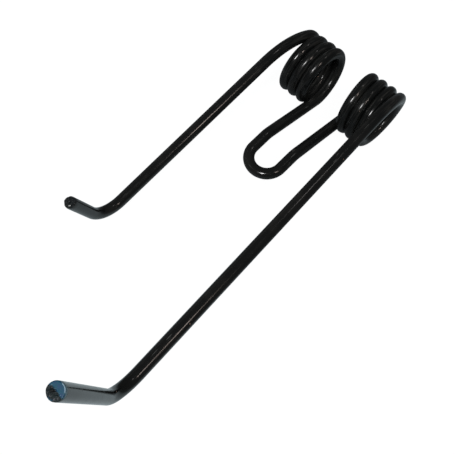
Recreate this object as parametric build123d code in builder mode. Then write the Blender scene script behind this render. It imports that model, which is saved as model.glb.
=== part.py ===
from build123d import *
from math import acos, asin, atan, atan2, cos, degrees, hypot, pi, radians, sin
import os

# Double rake tine bent cold from one length of round spring steel wire.
# A mounting loop joins two coils, and a leg with a turned-up tip leaves each coil.
# The bench frame has X along the coils' common axis, and the legs run towards -Y.
# side is -1 for the coil with the short leg and +1 for the coil with the long one.

# The wire
wire_dia = 9.0
end_chamfer = 0.6

# The coils
coil_inner_dia = 36.0
turn_clearance = 0.3
coil_turns = 3.5

# The mounting loop
loop_inner_width = 20.1
loop_rise_deg = 16.3
loop_run = 65.4
loop_kink_deg = 19.6
loop_kink_inner_radius = 13.8
loop_nose_run = 13.4

# The legs, each easing off its coil on a wide arc
ease_inner_radius = 70.9
ease_deg = 40.6
leg_splay_deg = 2.4
short_leg_droop_deg = 11.8
short_leg_run = 159.6
long_leg_droop_deg = 0.0
long_leg_run = 241.5

# The tips, turned up at the knees
knee_inner_radius = 16.9
knee_bend_deg = 84.8
short_tip_run = 34.1
long_tip_run = 81.6

# Sizes that follow from these
wire_radius = wire_dia / 2
coil_radius = (coil_inner_dia + wire_dia) / 2
coil_pitch = wire_dia + turn_clearance
lead_angle = atan(coil_pitch / (2 * pi * coil_radius))
loop_kink_radius = loop_kink_inner_radius + wire_radius
loop_nose_radius = (loop_inner_width + wire_dia) / 2
ease_radius = ease_inner_radius + wire_radius
knee_radius = knee_inner_radius + wire_radius

# A coil's inner end stands off by what the bend out of its slant takes up
coil_offset = loop_nose_radius + loop_kink_radius * (1 - cos(lead_angle))


# The unit vector square to a direction that points the most nearly along another
def square_to(direction, other):
    return (other - direction * other.dot(direction)).normalized()


# An arc from a point along a direction, bent through an angle towards a side
def bend(start, direction, towards, radius, angle):
    across = towards * (radius * (1 - cos(angle)))
    end = start + direction * (radius * sin(angle)) + across
    return TangentArc(start, end, tangent=direction)


# A straight run of wire that carries on from the end of another stretch
def run_on(stretch, length):
    return Line(stretch @ 1, stretch @ 1 + (stretch % 1) * length)


# One coil, wound outwards from its inner end under the axis
def coil_turns_of(side, droop_deg):
    wound_deg = 360 * coil_turns + loop_rise_deg + droop_deg - ease_deg
    start_angle = radians(-360 * coil_turns - loop_rise_deg)
    seat = Plane(
        origin=(side * coil_offset, 0, 0),
        x_dir=(0, -sin(start_angle), cos(start_angle)),
        z_dir=(side, 0, 0),
    )
    turns = Helix(
        pitch=coil_pitch,
        height=coil_pitch * wound_deg / 360,
        radius=coil_radius,
        lefthand=side < 0,
        mode=Mode.PRIVATE,
    )
    return turns.moved(seat.location)


# Half of the mounting loop, from the coil's inner end to the middle of the nose
def half_loop(side, coil):
    leaving = (coil % 0) * -1
    straight = square_to(Vector(1, 0, 0), leaving)
    slant_side = square_to(leaving, straight)
    with BuildLine() as path:
        slant = bend(coil @ 0, leaving, slant_side, loop_kink_radius, lead_angle)
        shank = run_on(slant, loop_run)
        down = Vector(1, 0, 0).cross(straight)
        kink = bend(shank @ 1, straight, down, loop_kink_radius, radians(loop_kink_deg))
        nose = run_on(kink, loop_nose_run)
        inwards = Vector(-side, 0, 0)
        bend(nose @ 1, nose % 1, inwards, loop_nose_radius, pi / 2)
    return path


# A leg, from the coil's outer end over its easing arc and knee to the tip's end
def leg(side, coil, droop_deg, leg_run, tip_run):
    over = coil % 1
    ahead = Vector(0, -cos(radians(droop_deg)), -sin(radians(droop_deg)))
    splay = radians(leg_splay_deg)
    along = Vector(side * sin(splay), 0, 0) + ahead * cos(splay)
    with BuildLine() as path:
        turned = acos(over.dot(along))
        ease = bend(coil @ 1, over, square_to(over, along), ease_radius, turned)
        shank = run_on(ease, leg_run)
        up = (shank % 1).cross(Vector(1, 0, 0)).normalized()
        knee = bend(shank @ 1, shank % 1, up, knee_radius, radians(knee_bend_deg))
        run_on(knee, tip_run)
    return path


short_coil = coil_turns_of(-1, short_leg_droop_deg)
long_coil = coil_turns_of(1, long_leg_droop_deg)
short_leg = leg(-1, short_coil, short_leg_droop_deg, short_leg_run, short_tip_run)
long_leg = leg(1, long_coil, long_leg_droop_deg, long_leg_run, long_tip_run)
short_half_loop = half_loop(-1, short_coil)
long_half_loop = half_loop(1, long_coil)

# The centre line of the whole wire, from one tip's end to the other's
with BuildLine() as centre_line:
    add(short_leg.edges())
    add(short_coil)
    add(short_half_loop.edges())
    add(long_half_loop.edges())
    add(long_coil)
    add(long_leg.edges())
wire_path = Wire(centre_line.edges())

# The wire's round section carried along it
with BuildPart() as bent_wire:
    with BuildSketch(Plane(origin=wire_path @ 0, z_dir=wire_path % 0)):
        Circle(wire_radius)
    sweep(path=wire_path)
    cut_ends = bent_wire.faces().filter_by(GeomType.PLANE)
    chamfer(cut_ends.edges(), end_chamfer)


# How far the bench frame tips forward before a round of the wire meets the floor
def tilt_to_touch(middle, outer_radius):
    reach = hypot(middle.Y, middle.Z)
    slope = atan2(middle.Z, -middle.Y)
    return degrees(slope + asin((coil_outer_radius - outer_radius) / reach))


# Laid down, the tine rests on the undersides of its coils and on whatever touches
# first ahead of them: either knee or the nose of the loop.
coil_outer_radius = coil_radius + wire_radius
short_knee, long_knee = [path.edges()[2] for path in (short_leg, long_leg)]
rest_tilt = min(
    tilt_to_touch(short_knee.arc_center, knee_radius + wire_radius),
    tilt_to_touch(long_knee.arc_center, knee_radius + wire_radius),
    tilt_to_touch(long_half_loop.edges()[-1] @ 1, wire_radius),
)
lying = Location((0, 0, coil_outer_radius), (rest_tilt, 0, 0))
middle = bent_wire.part.moved(lying).bounding_box().center()

# The tine as it lies, with the origin on the floor under the middle of its box
with BuildPart() as spring_tine:
    with Locations(Location((-middle.X, -middle.Y, 0)) * lying):
        add(bent_wire.part)

os.makedirs("parts", exist_ok=True)
spring_tine.part.label = "spring_tine"
export_step(spring_tine.part, "parts/spring_tine.step")
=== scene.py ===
import bpy
import math
import numpy as np
from mathutils import Matrix, Vector


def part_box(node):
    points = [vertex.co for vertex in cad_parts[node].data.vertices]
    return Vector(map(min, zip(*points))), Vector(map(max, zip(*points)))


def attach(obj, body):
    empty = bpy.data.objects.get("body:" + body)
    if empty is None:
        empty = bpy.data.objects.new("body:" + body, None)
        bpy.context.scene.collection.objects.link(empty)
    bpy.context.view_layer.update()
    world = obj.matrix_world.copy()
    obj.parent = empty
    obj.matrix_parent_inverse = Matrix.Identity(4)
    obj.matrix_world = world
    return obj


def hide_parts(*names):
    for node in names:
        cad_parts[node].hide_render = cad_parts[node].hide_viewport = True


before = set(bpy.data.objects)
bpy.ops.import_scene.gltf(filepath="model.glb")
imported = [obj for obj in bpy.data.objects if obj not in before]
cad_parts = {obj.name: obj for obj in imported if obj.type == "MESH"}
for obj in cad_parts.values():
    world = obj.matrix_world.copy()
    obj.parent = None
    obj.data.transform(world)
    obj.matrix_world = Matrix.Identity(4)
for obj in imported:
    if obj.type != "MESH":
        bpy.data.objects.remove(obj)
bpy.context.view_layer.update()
print("frame loaded:", sorted(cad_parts))

millimetre = 0.001
acrossCoils = np.array([1.0, 0, 0])  # the coils' common axis

# The tine's one wire, in millimetres and degrees
tine = {
    "wireDiameter": 9.0,
    "paintCoat": 0.14,  # nearly fills the gap between neighbouring turns
    "coilInnerDiameter": 36.0,
    "turnClearance": 0.3,
    "coilTurns": 3.5,
    "loopInnerWidth": 20.1,
    "loopRise": 16.3,
    "loopRun": 65.4,
    "loopKink": 19.6,
    "loopKinkInnerRadius": 13.8,
    "loopNoseRun": 13.4,
    "easeInnerRadius": 70.9,
    "easeAngle": 40.6,
    "legSplay": 2.4,
    "kneeInnerRadius": 16.9,
    "kneeAngle": 84.8,
    "shortLeg": {"side": -1, "droop": 11.8, "run": 159.6, "tip": 34.1},
    "longLeg": {"side": 1, "droop": 0.0, "run": 241.5, "tip": 81.6},
    "facesAround": 64,
    "spacing": 1.4,  # between rings where the wire bends, and at the tips
    "straightSpacing": 4.0,  # and where it runs straight
}


def derivedSizes(t):
    # radii of the wire and of its bends along the centre line, and the pitch of a coil's
    # turns and their slant from square to its axis
    wireRadius = t["wireDiameter"] / 2
    coilRadius = t["coilInnerDiameter"] / 2 + wireRadius
    pitch = t["wireDiameter"] + t["turnClearance"]
    return {
        "wire": wireRadius,
        "painted": wireRadius + t["paintCoat"],
        "coil": coilRadius,
        "coilOuter": t["coilInnerDiameter"] / 2 + t["wireDiameter"],
        "kink": t["loopKinkInnerRadius"] + wireRadius,
        "nose": t["loopInnerWidth"] / 2 + wireRadius,
        "ease": t["easeInnerRadius"] + wireRadius,
        "knee": t["kneeInnerRadius"] + wireRadius,
        "pitch": pitch,
        "slant": math.atan(pitch / (2 * math.pi * coilRadius)),
    }


def unit(vector):
    return vector / np.linalg.norm(vector)


def unitRows(rows):
    return rows / np.linalg.norm(rows, axis=1)[:, None]


def squareTo(direction, other):
    # the unit vector square to a direction that points the most nearly along another
    return unit(other - direction * (other @ direction))


# A stretch of the bent wire is two arrays: its points, and the directions it runs in there
def runOn(stretch, length, spacing):
    # a straight run: end of the last stretch + distance * direction
    start, direction = stretch[0][-1], stretch[1][-1]
    distance = np.linspace(0, length, max(2, math.ceil(length / spacing) + 1))[:, None]
    return start + distance * direction, np.repeat(direction[None], len(distance), axis=0)


def bendOn(stretch, towards, radius, angle, spacing):
    # an arc: end of the last stretch + radius * (sin(a) * direction + (1 - cos(a)) * towards)
    start, direction = stretch[0][-1], stretch[1][-1]
    a = np.linspace(0, angle, max(3, math.ceil(angle * radius / spacing) + 1))[:, None]
    points = start + radius * (np.sin(a) * direction + (1 - np.cos(a)) * towards)
    return points, np.cos(a) * direction + np.sin(a) * towards


def coilTurns(t, leg):
    # wound outwards from under the axis, where a is the angle from over it:
    # x = side * (offset + pitch * turns so far), y = -radius * sin(a), z = radius * cos(a)
    d, side = derivedSizes(t), leg["side"]
    begin = -2 * math.pi * t["coilTurns"] - math.radians(t["loopRise"])
    end = math.radians(leg["droop"] - t["easeAngle"])
    a = np.linspace(begin, end, math.ceil((end - begin) * d["coil"] / t["spacing"]) + 1)
    offset = d["nose"] + d["kink"] * (1 - math.cos(d["slant"]))
    x = side * (offset + d["pitch"] * (a - begin) / (2 * math.pi))
    points = np.stack([x, -d["coil"] * np.sin(a), d["coil"] * np.cos(a)], axis=1)
    outwards = np.full(len(a), side * math.tan(d["slant"]))
    return points, unitRows(np.stack([outwards, -np.cos(a), -np.sin(a)], axis=1))


def halfLoop(t, side, coil):
    # from a coil's inner end to the middle of the nose: out of the turns' slant, then the
    # shank, the kink and the nose
    d = derivedSizes(t)
    leaving = coil[0][:1], -coil[1][:1]
    straight = squareTo(acrossCoils, leaving[1][0])
    slantSide = squareTo(leaving[1][0], straight)
    slant = bendOn(leaving, slantSide, d["kink"], d["slant"], t["spacing"])
    shank = runOn(slant, t["loopRun"], t["straightSpacing"])
    down, kinkAngle = np.cross(acrossCoils, straight), math.radians(t["loopKink"])
    kink = bendOn(shank, down, d["kink"], kinkAngle, t["spacing"])
    noseRun = runOn(kink, t["loopNoseRun"], t["straightSpacing"])
    nose = bendOn(noseRun, -side * acrossCoils, d["nose"], math.pi / 2, t["spacing"])
    return [slant, shank, kink, noseRun, nose]


def legAndTip(t, leg, coil):
    # from a coil's outer end: easing arc, straight run, knee and tip
    d = derivedSizes(t)
    splay, droop = math.radians(t["legSplay"]), math.radians(leg["droop"])
    ahead = np.array([0, -math.cos(droop), -math.sin(droop)])
    along = leg["side"] * math.sin(splay) * acrossCoils + math.cos(splay) * ahead
    over = coil[1][-1]
    ease = bendOn(coil, squareTo(over, along), d["ease"], math.acos(over @ along), t["spacing"])
    legRun = runOn(ease, leg["run"], t["straightSpacing"])
    upwards = unit(np.cross(along, acrossCoils))
    knee = bendOn(legRun, upwards, d["knee"], math.radians(t["kneeAngle"]), t["spacing"])
    kneeMiddle = legRun[0][-1] + upwards * d["knee"]
    return [ease, legRun, knee, runOn(knee, leg["tip"], t["spacing"])], kneeMiddle


def joinUp(stretches):
    # one line of the stretches, without the points that two of them share
    points = np.concatenate([stretches[0][0][:1]] + [points[1:] for points, ways in stretches])
    ways = np.concatenate([stretches[0][1][:1]] + [ways[1:] for points, ways in stretches])
    return points, ways


def halfWire(t, leg):
    # one half of the wire, from the middle of the loop's nose to the tip's end. The loop's
    # stretches are turned round, so that all of them run outwards.
    coil = coilTurns(t, leg)
    loop = halfLoop(t, leg["side"], coil)
    outer, kneeMiddle = legAndTip(t, leg, coil)
    inner = [(points[::-1], -ways[::-1]) for points, ways in loop[::-1]]
    points, ways = joinUp(inner + [coil] + outer)
    # a ring's first point lies out square to the wire and to the coils' axis, and over the
    # nose, where the wire turns along that axis, square to the nose's plane
    noseRun, nose = loop[-2:]
    outs = np.cross(ways, acrossCoils)
    outs[: len(nose[0])] = -unit(np.cross(noseRun[1][-1], acrossCoils))
    return {"points": points, "ways": ways, "outs": unitRows(outs)}, kneeMiddle


def tiltToTouch(middle, radius, coilOuter):
    # how far the wire tips forward before a round of it meets the floor, from the tangent
    # under that round and the coils
    reach = math.hypot(middle[1], middle[2])
    return math.atan2(middle[2], -middle[1]) + math.asin((coilOuter - radius) / reach)


def centreLine(t):
    # the whole wire from the short tip's end to the long tip's, lying on the floor
    shortHalf, shortKnee = halfWire(t, t["shortLeg"])
    longHalf, longKnee = halfWire(t, t["longLeg"])
    d = derivedSizes(t)
    tilt = min(
        tiltToTouch(shortKnee, d["knee"] + d["wire"], d["coilOuter"]),
        tiltToTouch(longKnee, d["knee"] + d["wire"], d["coilOuter"]),
        tiltToTouch(longHalf["points"][0], d["wire"], d["coilOuter"]),
    )
    c, s = math.cos(tilt), math.sin(tilt)
    turn = np.array([[1, 0, 0], [0, c, -s], [0, s, c]])
    line = {
        "points": np.concatenate([shortHalf["points"][::-1], longHalf["points"][1:]]),
        "ways": np.concatenate([-shortHalf["ways"][::-1], longHalf["ways"][1:]]),
        "outs": np.concatenate([shortHalf["outs"][::-1], longHalf["outs"][1:]]),
    }
    line = {name: rows @ turn.T for name, rows in line.items()}
    line["points"][:, 2] += d["coilOuter"]
    return line


# The cut ends, in millimetres. Face places p and q are in wire radii: p points to the inside
# of the knee's bend and q along the coils' axis. The shear cut the side at +p clean and tore
# the rest. A wave is its size, its radians in a wire radius or round the rim, and its phase.
cutEnds = {
    "edge": 0.9,  # radius that the paint gives the rim
    "discRings": 22,
    "rimRings": 7,
    "wallGap": 0.1,  # at the least, from the deepest ring of an end to the first of the wall
    "wallRows": 4,  # rows of the wall that have the end's paint
    "shortTip": {"tornTo": 2.0, "depth": 0.8, "breakOut": 0.6, "ragged": 0.10},
    "longTip": {"tornTo": 0.12, "depth": 0.9, "breakOut": 0.9, "ragged": 0.015},
    "tornSlope": 0.02,  # how the torn side's border slants across the face
    "tornBow": 0.17,  # and how far it bows back towards the rim
    "tornWave": (0.04, 9.3, 2.0),
    "tornStep": (-0.05, 0.05),
    "pitsToRim": (0.84, 1.0),
    "pitsOverP": 6.1,
    "pitsOverQ": 6.9,
    "pitsSlant": 2.6,
    "pitsBentOverQ": (1.9, 3.7, 0.4),
    "pitsBentOverP": (1.5, 4.3, 1.0),
    "grainShare": 0.1,
    "grainOverP": 17.7,
    "grainBentOverQ": (3.0, 13.3, 0.0),
    "breakOutStep": (0.35, 1.15),
    "raggedMean": 0.5,
    "raggedSwing": 0.23,
    "raggedWaves": ((1.0, 5, 1.1), (0.7, 9, 4.0), (0.5, 17, 0.0)),
    "raggedStep": (0.6, 1.0),
}


def smooth(low, high, value):
    # 0 under low, 1 over high, and a smooth step between
    share = np.clip((value - low) / (high - low), 0, 1)
    return share * share * (3 - 2 * share)


def wave(sizes, place):
    # size * sin(rate * place + phase)
    size, rate, phase = sizes
    return size * np.sin(rate * place + phase)


def tornDepth(c, e, p, q):
    # millimetres under the end's plane: pits between the ridges of crossed waves on the torn
    # side, and the slope where the blade broke out at -p
    border = e["tornTo"] + c["tornSlope"] * q - c["tornBow"] * q * q + wave(c["tornWave"], q)
    torn = 1 - smooth(*c["tornStep"], p - border)
    inside = 1 - smooth(*c["pitsToRim"], np.hypot(p, q))
    oneWay = np.abs(np.sin(c["pitsOverP"] * p + wave(c["pitsBentOverQ"], q)))
    slanted = c["pitsOverQ"] * q - c["pitsSlant"] * p
    otherWay = np.abs(np.sin(slanted + wave(c["pitsBentOverP"], p)))
    grain = np.sin(c["grainOverP"] * p + wave(c["grainBentOverQ"], q))
    pits = (1 - c["grainShare"]) * oneWay * otherWay + c["grainShare"] * grain
    return e["depth"] * torn * inside * pits + e["breakOut"] * smooth(*c["breakOutStep"], -p)


def raggedRim(c, e, angle):
    # how much narrower than the wire the rim is at an angle, as a share of its radius
    waves = sum(wave(sizes, angle) for sizes in c["raggedWaves"])
    return e["ragged"] * (c["raggedMean"] + c["raggedSwing"] * waves)


def cutEnd(t, c, e, angle):
    # the rings of one end, from its middle outwards: each point's distance from the wire's
    # centre line, its depth under the end's plane, and its face place
    wireRadius, edge = derivedSizes(t)["painted"], c["edge"]
    turn = np.linspace(0, math.pi / 2, c["rimRings"] + 1)[:-1]
    disc = np.linspace(0, wireRadius - edge, c["discRings"] + 1)[1:-1]
    radii = np.concatenate([disc, wireRadius - edge + edge * np.sin(turn)])[:, None]
    rounding = np.concatenate([np.zeros(len(disc)), edge * (1 - np.cos(turn))])[:, None]
    p, q = radii / wireRadius * np.cos(angle), radii / wireRadius * np.sin(angle)
    narrowing = raggedRim(c, e, angle) * smooth(*c["raggedStep"], radii / wireRadius)
    return radii * (1 - narrowing), rounding + tornDepth(c, e, p, q), p, q


def endRings(t, c, tip, line, at, angle):
    # ring point = end - depth * outwards + reach * (cos(angle) * out + sin(angle) * across),
    # and the pole closes them in the middle
    side = -1.0 if at == 0 else 1.0
    end, way, out = line["points"][at], line["ways"][at], line["outs"][at]
    reach, depth, p, q = cutEnd(t, c, c[tip], angle)
    spokes = np.cos(angle)[:, None] * out + np.sin(angle)[:, None] * np.cross(way, out)
    poleDepth = tornDepth(c, c[tip], np.zeros(1), np.zeros(1))
    return {
        "points": end - depth[..., None] * side * way + reach[..., None] * spokes,
        "places": np.stack([p, q, side + 0 * p], axis=-1),
        "depth": depth,
        "pole": end - poleDepth * side * way,
        "polePlace": [0, 0, side],
    }


def sweptWire(t, c, line):
    # the wall's ring point = centre + radius * (cos(angle) * out + sin(angle) * across), with
    # the rings of a cut end before it and after it. The face place runs on down the wall.
    points, ways, outs = line["points"], line["ways"], line["outs"]
    wireRadius = derivedSizes(t)["painted"]
    angle = np.linspace(0, 2 * math.pi, t["facesAround"], endpoint=False)
    arc = np.concatenate([[0], np.cumsum(np.linalg.norm(np.diff(points, axis=0), axis=1))])
    length = arc[-1]
    clear = c["edge"] + max(c[tip]["breakOut"] for tip in ("shortTip", "longTip")) + c["wallGap"]
    inner = (arc > clear) & (arc < length - clear)
    out, across = outs[inner][:, None], np.cross(ways, outs)[inner][:, None]
    around = np.cos(angle)[:, None] * out + np.sin(angle)[:, None] * across
    wall = points[inner][:, None] + wireRadius * around
    side = np.where(arc[inner] < length / 2, -1.0, 1.0)[:, None] + 0 * angle
    spread = (1 + np.minimum(arc, length - arc)[inner] / wireRadius)[:, None]
    wallPlaces = np.stack([spread * np.cos(angle), spread * np.sin(angle), side], axis=-1)
    wallArc = np.repeat(arc[inner][:, None], len(angle), axis=1)
    first = endRings(t, c, "shortTip", line, 0, angle)
    last = endRings(t, c, "longTip", line, -1, angle)
    rings = np.concatenate([first["points"], wall, last["points"][::-1]])
    places = np.concatenate([first["places"], wallPlaces, last["places"][::-1]])
    along = np.concatenate([first["depth"], wallArc, length - last["depth"][::-1]])
    verts = np.concatenate([rings.reshape(-1, 3), [first["pole"], last["pole"]]])
    poles = [first["polePlace"], last["polePlace"]]
    places = np.concatenate([places.reshape(-1, 3), poles])
    return {"verts": verts, "rows": len(rings), "places": places, "along": along}


def tubeFaces(rows, facesAround):
    # quads between neighbouring rings, then a fan of triangles to the pole at each end
    row, col = np.meshgrid(np.arange(rows - 1), np.arange(facesAround), indexing="ij")
    beside = (col + 1) % facesAround
    near, far = row * facesAround, (row + 1) * facesAround
    quads = np.stack([near + col, near + beside, far + beside, far + col], axis=-1)
    col = np.arange(facesAround)
    beside = (col + 1) % facesAround
    firstPole, lastPole = rows * facesAround, rows * facesAround + 1
    lastRing = (rows - 1) * facesAround
    startFan = np.stack([np.full(facesAround, firstPole), beside, col], axis=1)
    endFan = np.stack([np.full(facesAround, lastPole), lastRing + col, lastRing + beside], axis=1)
    return quads.reshape(-1, 4), np.concatenate([startFan, endFan])


def wireUv(rows, facesAround, along, circumference):
    # one place for each face corner, in metres: round the wire, and along it
    row, col = np.meshgrid(np.arange(rows - 1), np.arange(facesAround), indexing="ij")
    here = np.stack([row, row, row + 1, row + 1], axis=-1)
    turn = np.stack([col, col + 1, col + 1, col], axis=-1)
    col = np.arange(facesAround)
    beside, middle = (col + 1) % facesAround, col + 0.5
    startTurn = np.stack([middle, col + 1, col], axis=1)
    endTurn = np.stack([middle, col, col + 1], axis=1)
    startAlong = along[0, np.stack([col, beside, col], axis=1)]
    endAlong = along[-1, np.stack([col, col, beside], axis=1)]
    wallAlong = along[here, turn % facesAround]
    turns = np.concatenate([turn.ravel(), startTurn.ravel(), endTurn.ravel()])
    v = np.concatenate([wallAlong.ravel(), startAlong.ravel(), endAlong.ravel()])
    return np.stack([turns / facesAround * circumference, v], axis=1) * millimetre


def meshPiece(name, verts, quads, triangles):
    mesh = bpy.data.meshes.new(name)
    loops = np.concatenate([quads.ravel(), triangles.ravel()])
    sizes = np.concatenate([np.full(len(quads), 4), np.full(len(triangles), 3)])
    starts = np.concatenate([[0], np.cumsum(sizes)[:-1]])
    mesh.vertices.add(len(verts))
    mesh.vertices.foreach_set("co", verts.astype(np.float32).ravel())
    mesh.loops.add(len(loops))
    mesh.loops.foreach_set("vertex_index", loops.astype(np.int32))
    mesh.polygons.add(len(sizes))
    mesh.polygons.foreach_set("loop_start", starts.astype(np.int32))
    mesh.polygons.foreach_set("use_smooth", np.ones(len(sizes), bool))
    mesh.update(calc_edges=True)
    piece = bpy.data.objects.new(name, mesh)
    bpy.context.scene.collection.objects.link(piece)
    return piece


def springTineWire(t, c):
    swept = sweptWire(t, c, centreLine(t))
    verts, facesAround = swept["verts"], t["facesAround"]
    # it lies where the solid does, but a paint coat higher, so that the paint meets the floor
    lowest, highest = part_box("spring_tine")
    boxMiddle = (np.array(lowest) + np.array(highest)) / 2 / millimetre
    shift = boxMiddle - (verts.min(axis=0) + verts.max(axis=0)) / 2
    shift[2] = t["paintCoat"]
    quads, fans = tubeFaces(swept["rows"], facesAround)
    wire = meshPiece("springTineWire", (verts + shift) * millimetre, quads, fans)
    uvRows = wireUv(swept["rows"], facesAround, swept["along"], math.pi * t["wireDiameter"])
    uvMap = wire.data.uv_layers.new(name="wireUv")
    uvMap.uv.foreach_set("vector", uvRows.astype(np.float32).ravel())
    facePlace = wire.data.attributes.new("facePlace", "FLOAT_VECTOR", "POINT")
    facePlace.data.foreach_set("vector", swept["places"].astype(np.float32).ravel())
    # the ends' rows and the poles' fans have the second material
    endQuads = (c["discRings"] + c["rimRings"] - 2 + c["wallRows"]) * facesAround
    paintOf = np.zeros(len(quads) + len(fans), np.int32)
    paintOf[:endQuads] = 1
    paintOf[len(quads) - endQuads:] = 1
    wire.data.polygons.foreach_set("material_index", paintOf)
    print("wire made:", len(quads) * 2 + len(fans), "triangles")
    return wire


wire = springTineWire(tine, cutEnds)

# The finish: gloss black paint all over, and on the cut ends a dab of blue paint and torn,
# darkened steel. Reliefs are in millimetres and scales in waves a metre. A pair is where a
# smooth step starts and ends, in the noise's own values unless it says otherwise.
paint = {
    "black": (0.0054, 0.0058, 0.0058, 1),
    "blackWorn": (0.0100, 0.0100, 0.0095, 1),
    "blackTurnsPaintedShade": (0.0036, 0.0041, 0.0043, 1),  # painted shade: a deeper black over the coils' turns
    "toneScale": 45.0,
    "wornStep": (0.48, 0.72),
    "glossLevel": 0.49,  # Specular IOR Level of both paints
    "roughness": 0.13,
    "roughnessSpread": 0.08,
    "roughScale": 125.0,
    "roughStep": (0.35, 0.75),
    "peelScale": 500.0,
    "peelRelief": 0.003,
    "waveScale": 70.0,
    "waveRelief": 0.05,
    "drawAcross": 1800.0,  # the drawn wire's lines, round the wire and along it
    "drawAlong": 45.0,
    "drawRelief": 0.0008,
    "dust": (0.034, 0.033, 0.030, 1),
    "dustAndShadeBegin": (0.075, 0.135),  # metres along Y: dust lies where the turns hold it, and the turns' painted shade begins here too
    "dustAcross": 4.0,  # waves in a wire radius round the wire, and in a metre along it
    "dustAlong": 70.0,
    "dustStep": (0.46, 0.70),
    "dustShare": 0.42,
    "dustLow": (0.012, 0.040),  # metres up: it is thicker on the bottoms of the turns
    "dustLowShare": 0.10,
    "dustRoughness": 0.35,
    "scuff": (0.040, 0.042, 0.040, 1),
    "scuffAcross": 900.0,
    "scuffAlong": 80.0,
    "scuffStep": (0.66, 0.72),
    "scuffPatchScale": 22.0,
    "scuffPatchStep": (0.55, 0.63),
    "speck": (0.16, 0.105, 0.075, 1),
    "speckScale": 170.0,
    "speckSize": 0.09,
    "speckShare": 0.16,
    "markRoughness": 0.5,  # of scuffs and specks
}


def addNode(tree, kind, inputs=None, **settings):
    # a node with its settings, where each input is a value or the output it comes from
    node = tree.nodes.new(kind)
    for name, value in settings.items():
        setattr(node, name, value)
    for socket, value in (inputs or {}).items():
        if isinstance(value, bpy.types.NodeSocket):
            tree.links.new(value, node.inputs[socket])
        else:
            node.inputs[socket].default_value = value
    return node


def calculate(tree, operation, first, second=0.0, third=0.0):
    node = addNode(tree, "ShaderNodeMath", {0: first, 1: second, 2: third}, operation=operation)
    return node.outputs[0]


def product(tree, first, *others):
    for other in others:
        first = calculate(tree, "MULTIPLY", first, other)
    return first


def measure(tree, operation, first, second=(0, 0, 0)):
    # a vector's length, or two vectors' distance or dot product
    node = addNode(tree, "ShaderNodeVectorMath", {0: first, 1: second}, operation=operation)
    return node.outputs["Value"]


def between(tree, value, low, high, start=0.0, end=1.0):
    # a smooth step from start to end as the value goes from low to high
    inputs = {"Value": value, "From Min": low, "From Max": high, "To Min": start, "To Max": end}
    node = addNode(tree, "ShaderNodeMapRange", inputs, interpolation_type="SMOOTHSTEP")
    return node.outputs["Result"]


def noise(tree, vector, scale, detail):
    inputs = {"Vector": vector, "Scale": scale, "Detail": detail}
    return addNode(tree, "ShaderNodeTexNoise", inputs).outputs["Fac"]


def stretched(tree, wirePlace, across, along):
    # a place on the wire's wall, in waves a metre round the wire and along it
    inputs = {"Vector": wirePlace, "Scale": (across, along, 1.0)}
    return addNode(tree, "ShaderNodeMapping", inputs).outputs[0]


def mixColours(tree, share, first, second):
    inputs = {0: share, 6: first, 7: second}
    return addNode(tree, "ShaderNodeMix", inputs, data_type="RGBA").outputs[2]


def mixValues(tree, share, first, second):
    inputs = {0: share, 2: first, 3: second}
    return addNode(tree, "ShaderNodeMix", inputs, data_type="FLOAT").outputs[0]


def newGroup(name, inputs, outputs):
    group = bpy.data.node_groups.new(name, "ShaderNodeTree")
    for label, kind in inputs.items():
        group.interface.new_socket(label, in_out="INPUT", socket_type="NodeSocket" + kind)
    for label, kind in outputs.items():
        group.interface.new_socket(label, in_out="OUTPUT", socket_type="NodeSocket" + kind)
    given = group.nodes.new("NodeGroupInput").outputs
    return group, given, group.nodes.new("NodeGroupOutput").inputs


def useGroup(tree, group, inputs):
    return addNode(tree, "ShaderNodeGroup", inputs, node_tree=group).outputs


def paintSkinGroup(p):
    # the sprayed paint: cloudy tone, uneven roughness, and a relief of orange peel, soft
    # waves and the drawn wire's fine lengthwise lines
    group, given, result = newGroup(
        "paintSkin",
        {"Object": "Vector", "Wire": "Vector"},
        {"Colour": "Color", "Roughness": "Float", "Relief": "Float"},
    )
    place = given["Object"]
    worn = between(group, noise(group, place, p["toneScale"], detail=4.0), *p["wornStep"])
    group.links.new(mixColours(group, worn, p["black"], p["blackWorn"]), result["Colour"])
    uneven = between(group, noise(group, place, p["roughScale"], detail=3.0), *p["roughStep"])
    rougher = product(group, uneven, p["roughnessSpread"])
    group.links.new(calculate(group, "ADD", rougher, p["roughness"]), result["Roughness"])
    peel = product(group, noise(group, place, p["peelScale"], detail=1.0), p["peelRelief"])
    waves = product(group, noise(group, place, p["waveScale"], detail=1.0), p["waveRelief"])
    lines = stretched(group, given["Wire"], p["drawAcross"], p["drawAlong"])
    drawn = product(group, noise(group, lines, 1.0, detail=0.0), p["drawRelief"])
    relief = calculate(group, "ADD", calculate(group, "ADD", peel, waves), drawn)
    group.links.new(relief, result["Relief"])
    return group


def specksGroup():
    # round specks: a share of a cell pattern's cells, each with a small disc at its seed
    group, given, result = newGroup(
        "specks",
        {"Object": "Vector", "Scale": "Float", "Size": "Float", "Share": "Float"},
        {"Mask": "Float"},
    )
    inputs = {"Vector": given["Object"], "Scale": given["Scale"]}
    cells = addNode(group, "ShaderNodeTexVoronoi", inputs).outputs
    near = calculate(group, "LESS_THAN", cells["Distance"], given["Size"])
    cellTone = addNode(group, "ShaderNodeSeparateColor", {"Color": cells["Color"]}).outputs[0]
    chosen = calculate(group, "LESS_THAN", cellTone, given["Share"])
    group.links.new(product(group, near, chosen), result["Mask"])
    return group


def scuffsGroup(p):
    # short pale scratches along the wire, in a few patches of it
    group, given, result = newGroup("scuffs", {"Wire": "Vector"}, {"Mask": "Float"})
    scratched = stretched(group, given["Wire"], p["scuffAcross"], p["scuffAlong"])
    scratches = between(group, noise(group, scratched, 1.0, detail=1.0), *p["scuffStep"])
    patchy = noise(group, given["Wire"], p["scuffPatchScale"], detail=1.0)
    patches = between(group, patchy, *p["scuffPatchStep"])
    group.links.new(product(group, scratches, patches), result["Mask"])
    return group


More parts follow.
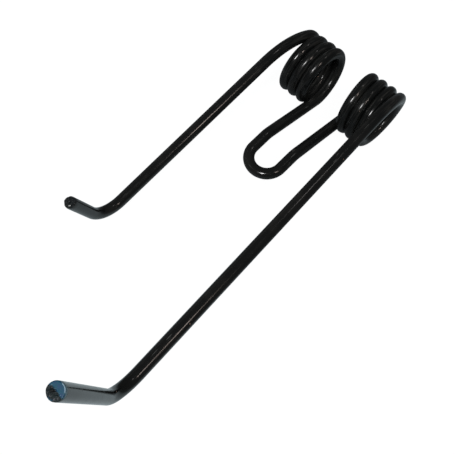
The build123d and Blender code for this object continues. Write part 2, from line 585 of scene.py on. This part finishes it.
def newMaterial(name):
    material = bpy.data.materials.new(name)
    material.use_nodes = True
    tree = material.node_tree
    return material, tree, tree.nodes["Principled BSDF"]


def ownCoordinates(tree):
    objectPlace = addNode(tree, "ShaderNodeTexCoord").outputs["Object"]
    wirePlace = addNode(tree, "ShaderNodeUVMap", uv_map="wireUv").outputs["UV"]
    facePlace = addNode(tree, "ShaderNodeAttribute", attribute_name="facePlace").outputs["Vector"]
    return objectPlace, wirePlace, facePlace


def coatWith(tree, shader, p, colour, roughness, relief):
    shader.inputs["Specular IOR Level"].default_value = p["glossLevel"]
    tree.links.new(colour, shader.inputs["Base Color"])
    tree.links.new(roughness, shader.inputs["Roughness"])
    inputs = {"Height": relief, "Strength": 1.0, "Distance": millimetre}
    bump = addNode(tree, "ShaderNodeBump", inputs).outputs["Normal"]
    tree.links.new(bump, shader.inputs["Normal"])


def alongWire(tree, wirePlace, facePlace, across, along):
    # a place for streaks that run along the wire and have no seam round it
    inputs = {0: facePlace, 1: (1, 1, 0)}
    level = addNode(tree, "ShaderNodeVectorMath", inputs, operation="MULTIPLY").outputs[0]
    turned = addNode(tree, "ShaderNodeVectorMath", {0: level}, operation="NORMALIZE").outputs[0]
    spoke = addNode(tree, "ShaderNodeSeparateXYZ", {0: turned}).outputs
    run = addNode(tree, "ShaderNodeSeparateXYZ", {0: wirePlace}).outputs["Y"]
    axes = (spoke["X"], across), (spoke["Y"], across), (run, along)
    scaled = [product(tree, axis, scale) for axis, scale in axes]
    return addNode(tree, "ShaderNodeCombineXYZ", dict(enumerate(scaled))).outputs[0]


def blackPaint(p, skin, specks, scuffs):
    material, tree, shader = newMaterial("blackPaint")
    objectPlace, wirePlace, facePlace = ownCoordinates(tree)
    paintSkin = useGroup(tree, skin, {"Object": objectPlace, "Wire": wirePlace})
    where = addNode(tree, "ShaderNodeSeparateXYZ", {0: objectPlace}).outputs
    # the coils' turns, which get dust and a painted shade
    turns = between(tree, where["Y"], *p["dustAndShadeBegin"])
    streaks = alongWire(tree, wirePlace, facePlace, p["dustAcross"], p["dustAlong"])
    patchy = between(tree, noise(tree, streaks, 1.0, detail=4.0), *p["dustStep"])
    low = between(tree, where["Z"], *p["dustLow"], p["dustLowShare"], 0.0)
    thick = calculate(tree, "ADD", product(tree, patchy, p["dustShare"]), low)
    dusty = product(tree, turns, thick)
    scuffed = useGroup(tree, scuffs, {"Wire": wirePlace})["Mask"]
    specked = useGroup(tree, specks, {
        "Object": objectPlace,
        "Scale": p["speckScale"],
        "Size": p["speckSize"],
        "Share": p["speckShare"],
    })["Mask"]
    # painted shade: the coils' turns are mixed towards a deeper black
    colour = mixColours(tree, turns, paintSkin["Colour"], p["blackTurnsPaintedShade"])
    colour = mixColours(tree, dusty, colour, p["dust"])
    colour = mixColours(tree, scuffed, colour, p["scuff"])
    colour = mixColours(tree, specked, colour, p["speck"])
    marked = calculate(tree, "MAXIMUM", specked, scuffed)
    roughness = mixValues(tree, dusty, paintSkin["Roughness"], p["dustRoughness"])
    roughness = mixValues(tree, marked, roughness, p["markRoughness"])
    coatWith(tree, shader, p, colour, roughness, paintSkin["Relief"])
    return material


# Paint and steel of the cut ends. Steps over the face are in wire radii, from its middle or
# along p or q, and those of clouds, pale crumbs and lumps in their noise's own values. The
# wobble, in wire radii, makes the borders uneven.
endPaint = {
    "wobble": 0.5,
    "wobbleScale": 500.0,
    "blue": (0.012, 0.068, 0.110, 1),
    "blueDeep": (0.018, 0.058, 0.120, 1),
    "blueClouds": (0.4, 0.65),
    "blueBorder": (-0.10, 0.05),  # along p, from the torn side's border
    "blueReach": (1.05, 1.75),  # how far it runs on down the wall
    "blueRoughness": 0.38,
    "ringStep": (0.78, 0.86),  # a stretch of the torn side's rim has some of it too
    "ringShare": 0.8,
    "ringBegins": (-0.50, -0.30),
    "ringEnds": (0.05, 0.25),
    "rimTowards": (0.91, -0.41, 0.0),  # the side of the rim with the painted highlight and the painted sheen on the blue
    # blue paint over the shoulder, painted paler than the blue as a sheen
    "blueShoulderAndSheen": (0.110, 0.200, 0.230, 1),
    "shoulderStep": (0.96, 1.02),
    "shoulderSide": (0.5, 0.8),  # along rimTowards
    "rimPaintedHighlight": (0.28, 0.40, 0.49, 1),  # painted highlight: a thin pale line along the rounded rim, inside it
    "rimHighlightStep": (0.86, 0.89),
    "rimHighlightEnd": (0.94, 0.98),
    "rimHighlightSide": (0.74, 0.85),
    "steel": (0.0010, 0.0032, 0.0042, 1),  # darkest round one spot of the long tip's face
    "steelSpot": (-0.20, 0.26, 0.0),
    "steelStep": (0.12, 0.50),
    "steelRound": (0.011, 0.019, 0.021, 1),
    "steelReach": (0.90, 1.02),
    "steelRoughness": 0.6,
    "steelPaleCrumbsAndHighlight": (0.080, 0.080, 0.088, 1),  # crumbs, in patches, on the relief's ridges: partly a painted highlight
    "paleStep": (0.48, 0.66),
    "lumpScale": 400.0,
    "lumpStep": (0.50, 0.62),
    "tornScale": 1000.0,
    "tornRelief": 0.30,
    # bare steel in a nick, with a painted glint
    "bareSteelGlint": (0.34, 0.35, 0.34, 1),
    "bareSpot": (-0.36, 0.36, -1.0),  # on the short tip's face
    "bareSpotSize": (0.24, 0.09, 1.0),
    "bareSpotTurn": 0.82,
    "bareStep": (0.75, 1.0),  # in the spot's own radii
}


def readFace(tree, e, objectPlace, facePlace):
    # what the masks of a cut end are worked out from
    axes = addNode(tree, "ShaderNodeSeparateXYZ", {0: facePlace}).outputs
    flat = addNode(tree, "ShaderNodeCombineXYZ", {0: axes["X"], 1: axes["Y"]}).outputs[0]
    clouds = noise(tree, objectPlace, e["wobbleScale"], detail=3.0)
    wobble = calculate(tree, "MULTIPLY_ADD", clouds, e["wobble"], -e["wobble"] / 2)
    fromMiddle = measure(tree, "LENGTH", flat)
    return {
        "p": axes["X"],
        "q": axes["Y"],
        "longTip": calculate(tree, "GREATER_THAN", axes["Z"], 0.0),
        "flat": flat,
        "clouds": clouds,
        "wobble": wobble,
        "fromMiddle": fromMiddle,
        "outwards": calculate(tree, "ADD", fromMiddle, wobble),
    }


def blueCover(tree, c, e, face):
    # the blue covers the clean-cut side of the long tip's face, to the torn side's bowed border
    bow = product(tree, face["q"], face["q"], c["tornBow"])
    slant = calculate(tree, "MULTIPLY_ADD", face["q"], -c["tornSlope"], face["p"])
    fromBorder = calculate(tree, "ADD", calculate(tree, "ADD", slant, bow), face["wobble"])
    low, high = (c["longTip"]["tornTo"] + edge for edge in e["blueBorder"])
    cleanCut = between(tree, fromBorder, low, high)
    ringed = product(
        tree,
        between(tree, face["outwards"], *e["ringStep"]),
        between(tree, face["q"], *e["ringEnds"], e["ringShare"], 0.0),
        between(tree, face["q"], *e["ringBegins"]),
    )
    onFace = between(tree, face["outwards"], *e["blueReach"], 1.0, 0.0)
    return product(tree, calculate(tree, "MAXIMUM", cleanCut, ringed), onFace, face["longTip"])


def tornSteel(tree, e, face, objectPlace, grain):
    # torn steel with pale crumbs on the relief's ridges, partly a painted highlight
    lumps = between(tree, noise(tree, objectPlace, e["lumpScale"], detail=2.0), *e["lumpStep"])
    # the pale sits where the grain raises the torn relief: crumbs, and a painted highlight on its
    # ridges
    pale = product(tree, between(tree, grain, *e["paleStep"]), lumps)
    away = measure(tree, "DISTANCE", face["flat"], e["steelSpot"])
    fromSpot = calculate(tree, "ADD", away, face["wobble"])
    lighter = product(tree, between(tree, fromSpot, *e["steelStep"]), face["longTip"])
    colour = mixColours(tree, lighter, e["steel"], e["steelRound"])
    return mixColours(tree, pale, colour, e["steelPaleCrumbsAndHighlight"])


def rimPaint(tree, e, face, blue, colour):
    # on one side of the long tip's rim, a painted highlight in a thin pale line, and a painted
    # sheen on the blue over the shoulder
    towards = measure(tree, "DOT_PRODUCT", face["flat"], e["rimTowards"])
    paintedRimHighlight = product(
        tree,
        between(tree, face["fromMiddle"], *e["rimHighlightStep"]),
        between(tree, face["fromMiddle"], *e["rimHighlightEnd"], 1.0, 0.0),
        between(tree, towards, *e["rimHighlightSide"]),
        face["longTip"],
    )
    colour = mixColours(tree, paintedRimHighlight, colour, e["rimPaintedHighlight"])
    shoulder = product(
        tree,
        between(tree, face["fromMiddle"], *e["shoulderStep"]),
        blue,
        between(tree, towards, *e["shoulderSide"]),
    )
    return mixColours(tree, shoulder, colour, e["blueShoulderAndSheen"])


def bareNickGlint(tree, e, face, facePlace, colour):
    # a small slanted nick of bare steel, painted pale as a glint
    inputs = {"Vector": facePlace, "Location": e["bareSpot"], "Scale": e["bareSpotSize"]}
    inputs["Rotation"] = (0.0, 0.0, e["bareSpotTurn"])
    nick = addNode(tree, "ShaderNodeMapping", inputs, vector_type="TEXTURE").outputs[0]
    fromNick = calculate(tree, "ADD", measure(tree, "LENGTH", nick), face["wobble"])
    bareGlint = between(tree, fromNick, *e["bareStep"], 1.0, 0.0)
    return mixColours(tree, bareGlint, colour, e["bareSteelGlint"])


def cutEndPaint(p, c, e, skin):
    material, tree, shader = newMaterial("cutEndPaint")
    objectPlace, wirePlace, facePlace = ownCoordinates(tree)
    paintSkin = useGroup(tree, skin, {"Object": objectPlace, "Wire": wirePlace})
    face = readFace(tree, e, objectPlace, facePlace)
    grain = noise(tree, objectPlace, e["tornScale"], detail=5.0)
    torn = between(tree, face["outwards"], *e["steelReach"], 1.0, 0.0)
    blue = blueCover(tree, c, e, face)
    deeper = between(tree, face["clouds"], *e["blueClouds"])
    steelColour = tornSteel(tree, e, face, objectPlace, grain)
    colour = mixColours(tree, torn, paintSkin["Colour"], steelColour)
    colour = mixColours(tree, blue, colour, mixColours(tree, deeper, e["blue"], e["blueDeep"]))
    colour = rimPaint(tree, e, face, blue, colour)
    colour = bareNickGlint(tree, e, face, facePlace, colour)
    roughness = mixValues(tree, torn, paintSkin["Roughness"], e["steelRoughness"])
    roughness = mixValues(tree, blue, roughness, e["blueRoughness"])
    uncovered = product(tree, torn, calculate(tree, "SUBTRACT", 1.0, blue))
    tornRelief = product(tree, grain, uncovered, e["tornRelief"])
    relief = calculate(tree, "ADD", paintSkin["Relief"], tornRelief)
    coatWith(tree, shader, p, colour, roughness, relief)
    return material


skin = paintSkinGroup(paint)
wire.data.materials.append(blackPaint(paint, skin, specksGroup(), scuffsGroup(paint)))
wire.data.materials.append(cutEndPaint(paint, cutEnds, endPaint, skin))
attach(wire, "root")
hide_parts("spring_tine")
print("paint made")

# Floor, surroundings and lamps, in metres and watts
studio = {
    "floorSize": 0.9,
    "floorColour": (0.40, 0.43, 0.45, 1),
    "floorRoughness": 0.9,
    "white": 1.13,
    "whiteShare": 0.85,  # of the floor that is seen, the rest is the lit paper with its shadows
    "lightPools": [  # painted pools of light: the floor glows palest here for gloss and glass, and darker further out
        {"middle": (0.03, -0.12, 0.0), "near": 0.06, "far": 0.20, "white": 0.60},
        {"middle": (0.085, 0.205, 0.0), "near": 0.04, "far": 0.105, "white": 0.28},
    ],
    "lightPoolTint": (0.80, 0.95, 1.0, 1),
    "grazing": (0.45, 0.88),  # of Layer Weight's Facing: the painted pools of light go dark between these
    "farWhite": 0.06,
    "roomStrength": 0.04,
    "roomMirrored": 0.02,  # share of white that gloss and glass see of the room
    "lamps": {
        "overheadStrip": {
            "place": (0.55, -1.85, 2.5),
            "size": (0.50, 0.80),
            "power": 42,
            "colour": (1, 1, 1),
        },
        "sideStrip": {
            "place": (0.78, -0.015, 1.0),
            "size": (0.24, 0.10),
            "power": 0.62,
            "colour": (1, 0.84, 0.76),
        },
        "sideTail": {
            "place": (0.78, 0.085, 1.0),
            "size": (0.24, 0.10),
            "power": 0.09,
            "colour": (1, 0.80, 0.68),
        },
        "sideFar": {
            "place": (1.90, -0.25, 2.5),
            "size": (0.55, 0.17),
            "power": 2.7,
            "colour": (1, 0.84, 0.76),
        },
        "rearPatch": {
            "place": (0.50, 1.05, 2.5),
            "size": (0.40, 0.24),
            "power": 1.2,
            "colour": (1, 0.95, 0.92),
        },
        "leftPatch": {
            "place": (-1.10, -1.40, 1.6),
            "size": (0.45, 0.60),
            "power": 0.6,
            "colour": (1, 1, 1),
        },
        "leftWall": {
            "place": (-2.20, -0.20, 0.8),
            "size": (1.40, 2.60),
            "power": 1.0,
            "colour": (1, 1, 0.95),
        },
    },
    "fills": {  # light without a mirror image
        "rightFill": {
            "place": (0.9, -0.5, 1.9),
            "size": (1.6, 1.6),
            "power": 24,
            "colour": (1, 1, 1),
        },
        "leftFill": {
            "place": (-1.5, -0.2, 1.1),
            "size": (1.2, 1.2),
            "power": 15,
            "colour": (1, 1, 1),
        },
    },
    "aim": (0, 0.08, 0.03),
}


def raysSeen(tree):
    # whether a ray comes straight from the camera, and whether off gloss or through glass
    path = addNode(tree, "ShaderNodeLightPath").outputs
    inMirrors = calculate(tree, "ADD", path["Is Glossy Ray"], path["Is Transmission Ray"])
    return path["Is Camera Ray"], inMirrors


def floorLightPools(tree, s):
    # painted light: the floor's glow in its palest pool at a place, darker towards a grazing view
    floorPlace = addNode(tree, "ShaderNodeTexCoord").outputs["Object"]
    lightPool = 0.0
    for spot in s["lightPools"]:
        away = measure(tree, "DISTANCE", floorPlace, spot["middle"])
        pale = between(tree, away, spot["near"], spot["far"], spot["white"], 0.0)
        lightPool = calculate(tree, "MAXIMUM", pale, lightPool)
    facing = addNode(tree, "ShaderNodeLayerWeight", {"Blend": 0.5}).outputs["Facing"]
    steep = between(tree, facing, *s["grazing"], 1.0, 0.0)
    return calculate(tree, "MAXIMUM", product(tree, lightPool, steep), s["farWhite"])


def studioFloor(s):
    half = s["floorSize"] / 2
    corners = [(-half, -half, 0), (half, -half, 0), (half, half, 0), (-half, half, 0)]
    mesh = bpy.data.meshes.new("floor")
    mesh.from_pydata(corners, [], [(0, 1, 2, 3)])
    floor = bpy.data.objects.new("floor", mesh)
    bpy.context.scene.collection.objects.link(floor)
    material, tree, shader = newMaterial("floorPaper")
    shader.inputs["Base Color"].default_value = s["floorColour"]
    shader.inputs["Roughness"].default_value = s["floorRoughness"]
    shader.inputs["Specular IOR Level"].default_value = 0.0
    # the camera's rays see it white, and those off gloss or through glass see the painted pools
    # of light
    fromCamera, inMirrors = raysSeen(tree)
    seen = product(tree, fromCamera, s["white"])
    strength = calculate(tree, "MULTIPLY_ADD", inMirrors, floorLightPools(tree, s), seen)
    colour = mixColours(tree, inMirrors, (1, 1, 1, 1), s["lightPoolTint"])
    white = addNode(tree, "ShaderNodeEmission", {"Color": colour, "Strength": strength})
    share = product(tree, calculate(tree, "MAXIMUM", fromCamera, inMirrors), s["whiteShare"])
    inputs = {0: share, 1: shader.outputs[0], 2: white.outputs[0]}
    mix = addNode(tree, "ShaderNodeMixShader", inputs)
    tree.links.new(mix.outputs[0], tree.nodes["Material Output"].inputs["Surface"])
    mesh.materials.append(material)


def studioRoom(s):
    room = bpy.data.worlds.new("studioRoom")
    bpy.context.scene.world = room
    room.use_nodes = True
    tree = room.node_tree
    dark = tree.nodes["Background"]
    dark.inputs["Color"].default_value = (1, 1, 1, 1)
    dark.inputs["Strength"].default_value = s["roomStrength"]
    white = addNode(tree, "ShaderNodeBackground", {"Color": (1, 1, 1, 1), "Strength": 1.0})
    fromCamera, inMirrors = raysSeen(tree)
    share = calculate(tree, "MULTIPLY_ADD", inMirrors, s["roomMirrored"], fromCamera)
    inputs = {0: share, 1: dark.outputs[0], 2: white.outputs[0]}
    mix = addNode(tree, "ShaderNodeMixShader", inputs)
    tree.links.new(mix.outputs[0], tree.nodes["World Output"].inputs["Surface"])


def areaLamp(name, lamp, aim):
    # a rectangle of light that faces the tine, its second side along the legs
    data = bpy.data.lights.new(name, "AREA")
    data.shape = "RECTANGLE"
    data.size, data.size_y = lamp["size"]
    data.energy = lamp["power"]
    data.color = lamp["colour"]
    placed = bpy.data.objects.new(name, data)
    away = (Vector(lamp["place"]) - Vector(aim)).normalized()
    across = Vector((0, 1, 0)).cross(away).normalized()
    turned = Matrix((across, away.cross(across), away)).transposed().to_4x4()
    placed.matrix_world = Matrix.Translation(lamp["place"]) @ turned
    bpy.context.scene.collection.objects.link(placed)
    return placed


studioFloor(studio)
studioRoom(studio)
for name, lamp in studio["lamps"].items():
    areaLamp(name, lamp, studio["aim"])
for name, lamp in studio["fills"].items():
    areaLamp(name, lamp, studio["aim"]).visible_glossy = False
print("floor, room and lamps placed")

# Camera, as the photograph was taken: degrees, metres and pixels, and millimetres of sensor
shot = {
    "azimuth": 37.116,
    "elevation": 63.346,
    "roll": 7.678,
    "distance": 0.42959,
    "sideways": 0.00737,
    "upwards": -0.01260,
    "focalLength": 540,
    "frameWidth": 455,
    "sensorWidth": 36,
    "nearest": 0.01,
}


def photoCamera(s):
    azimuth, elevation, roll = (math.radians(s[key]) for key in ("azimuth", "elevation", "roll"))
    level = Vector((math.cos(azimuth), math.sin(azimuth), 0))
    outwards = Vector((math.sin(azimuth), -math.cos(azimuth), 0))
    back = outwards * math.cos(elevation) + Vector((0, 0, 1)) * math.sin(elevation)
    upright = back.cross(level)
    right = level * math.cos(roll) + upright * math.sin(roll)
    up = back.cross(right)
    data = bpy.data.cameras.new("photoCamera")
    data.sensor_width = s["sensorWidth"]
    data.lens = data.sensor_width * s["focalLength"] / s["frameWidth"]
    data.clip_start = s["nearest"]
    camera = bpy.data.objects.new("photoCamera", data)
    turned = Matrix((right, up, back)).transposed().to_4x4()
    place = back * s["distance"] + right * s["sideways"] + up * s["upwards"]
    camera.matrix_world = Matrix.Translation(place) @ turned
    bpy.context.scene.collection.objects.link(camera)
    bpy.context.scene.camera = camera


photoCamera(shot)
bpy.context.scene.view_settings.view_transform = "Standard"
print("camera set")
